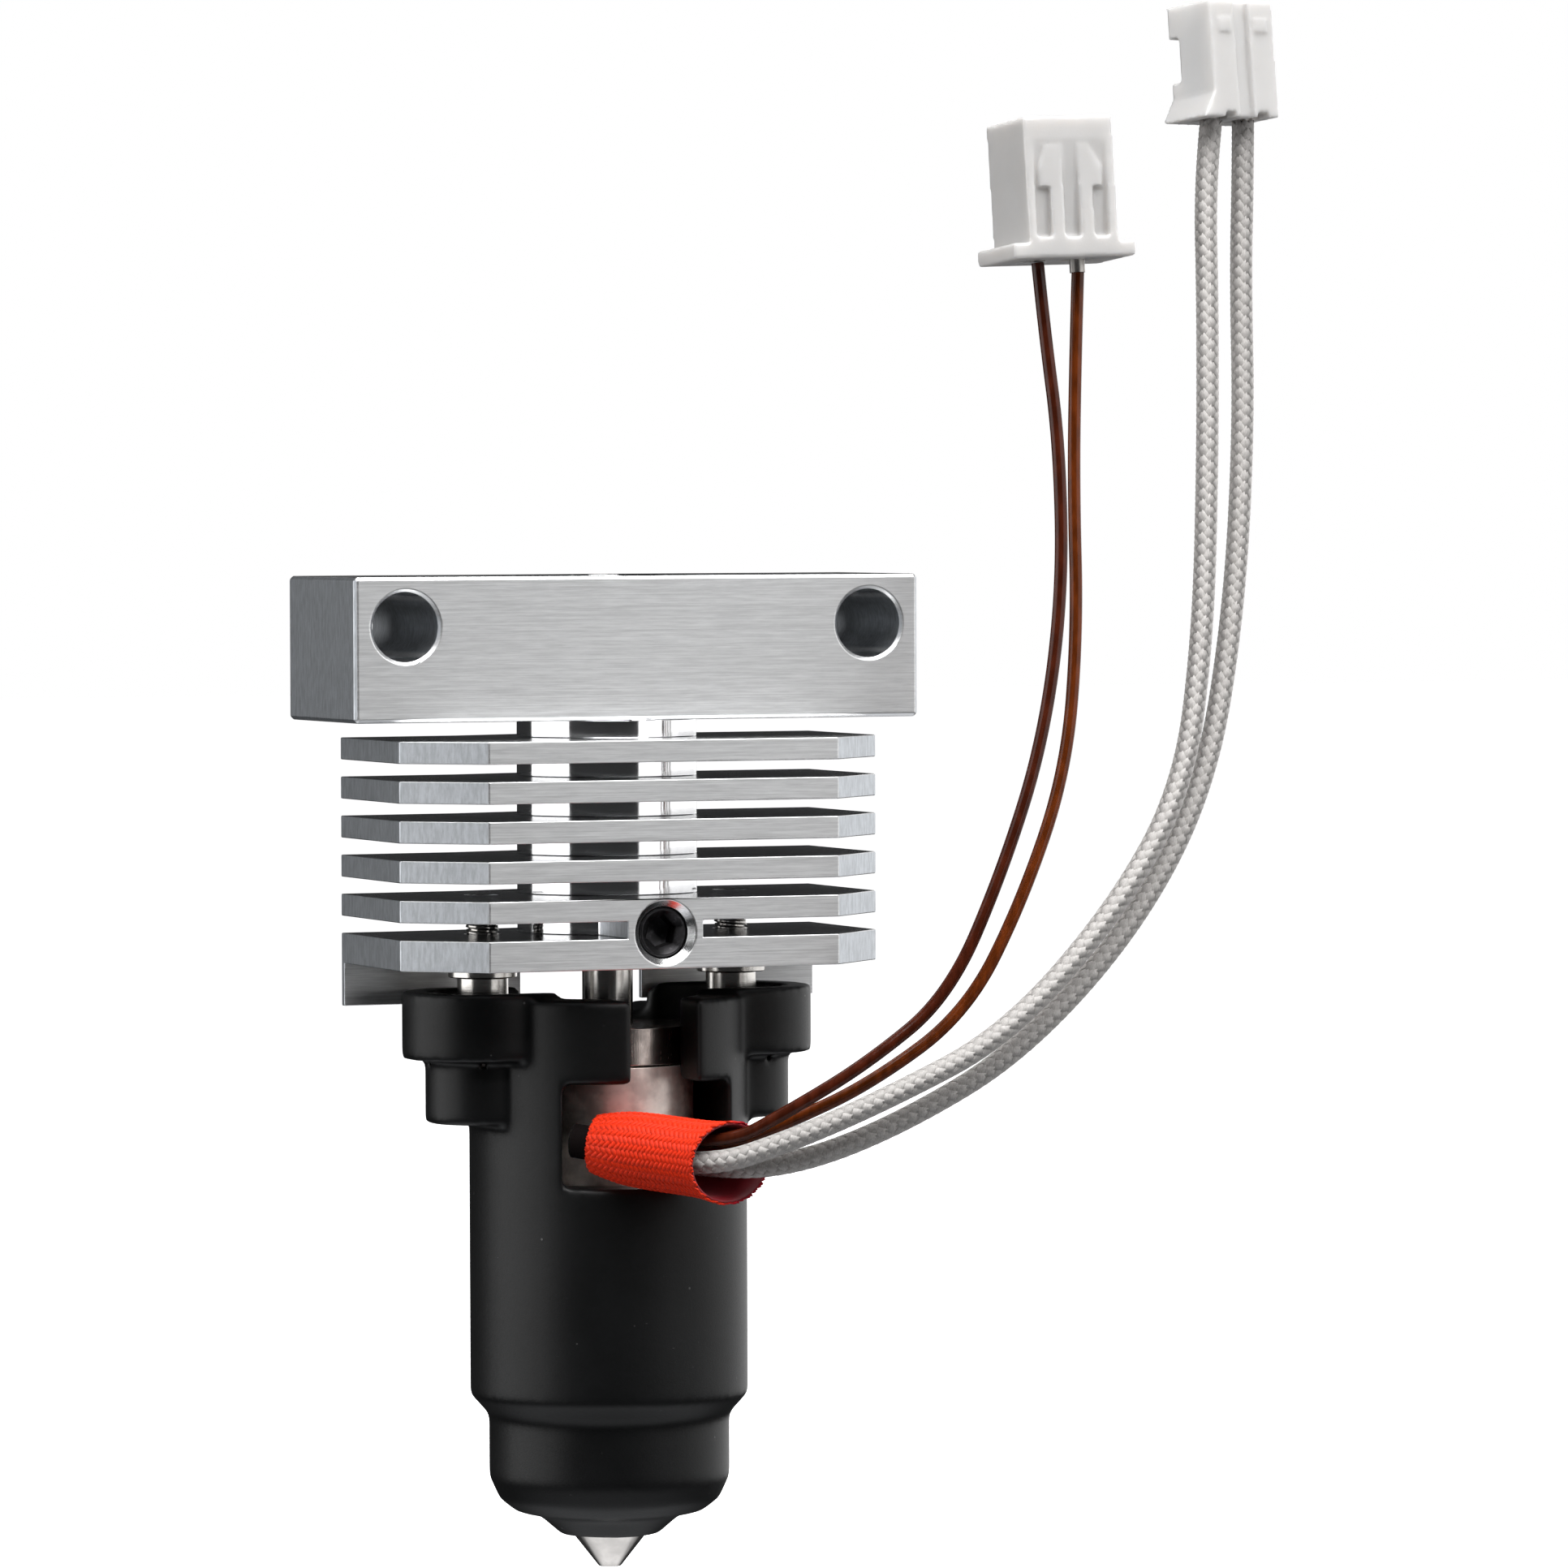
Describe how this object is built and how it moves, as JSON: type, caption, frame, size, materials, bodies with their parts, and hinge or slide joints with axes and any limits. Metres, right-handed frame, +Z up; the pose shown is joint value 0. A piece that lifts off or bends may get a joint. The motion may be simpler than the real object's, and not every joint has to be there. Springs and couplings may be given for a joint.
{
  "type": "hotend assembly",
  "caption": "Compact finned hotend with a cross-drilled mounting block, round sock-covered heater, short nozzle, and heater and thermistor leads rising to two small plugs.",
  "frame": {"origin": "centre of the filament inlet, on the top face of the mounting block", "axes": "+Z up along the filament path, +X to the side that the leads leave, -Y to the front that holds the grub screw"},
  "size_m": [0.0541, 0.0279, 0.0922],
  "materials": {
    "aluminium_body": "fine brushed and turned, satin",
    "black_steel": "black oxide",
    "steel": "turned, bright",
    "copper": "copper alloy, plain",
    "ceramic": "white ceramic",
    "nickel": "brushed, warm tinted by heat",
    "bead_glass": "glass bead",
    "nozzle_metal": "turned and plated, bright",
    "silicone": "moulded silicone, dull black",
    "potting": "dark cement",
    "woven_glass": "woven glass fibre, orange red",
    "brown_insulation": "glossy enamel",
    "white_braid": "diagonal glass-fibre braid, grey white",
    "nylon": "natural nylon, slightly translucent",
    "tinned_contact": "stamped, tin plated"
  },
  "bodies": {
    "hotend": {"heat_sink": "aluminium_body", "spacer_left": "steel", "spacer_right": "steel", "heat_break_sleeve": "copper", "heat_break_tube": "steel", "heater_block": "nickel", "ceramic_heater": "ceramic", "heater_shell": "nickel", "thermistor_bead": "bead_glass", "silicone_sock": "silicone", "lead_potting": "potting", "wire_sleeve": "woven_glass", "thermistor_wire_a": "brown_insulation", "thermistor_wire_b": "brown_insulation", "heater_wire_a": "white_braid", "heater_wire_b": "white_braid", "thermistor_connector": "nylon", "thermistor_contact_a": "tinned_contact", "thermistor_contact_b": "tinned_contact", "heater_plug": "nylon", "heater_contact_a": "tinned_contact", "heater_contact_b": "tinned_contact"},
    "grub_screw": {"grub_screw": "black_steel"},
    "clamp_screw_left": {"clamp_screw_left": "steel"},
    "clamp_screw_right": {"clamp_screw_right": "steel"},
    "nozzle": {"nozzle": "nozzle_metal"}
  },
  "joints": [
    {"name": "grub_screw_turn", "type": "hinge", "parent": "hotend", "child": "grub_screw", "pos_m": [0, -0.009, -0.0207], "axis": [0, -1, 0], "continuous": true},
    {"name": "clamp_screw_left_turn", "type": "hinge", "parent": "hotend", "child": "clamp_screw_left", "pos_m": [-0.00785, 0, -0.0287], "axis": [0, 0, -1], "continuous": true},
    {"name": "clamp_screw_right_turn", "type": "hinge", "parent": "hotend", "child": "clamp_screw_right", "pos_m": [0.00785, 0, -0.0287], "axis": [0, 0, -1], "continuous": true},
    {"name": "nozzle_turn", "type": "hinge", "parent": "hotend", "child": "nozzle", "pos_m": [0, 0, -0.0535], "axis": [0, 0, -1], "continuous": true}
  ]
}
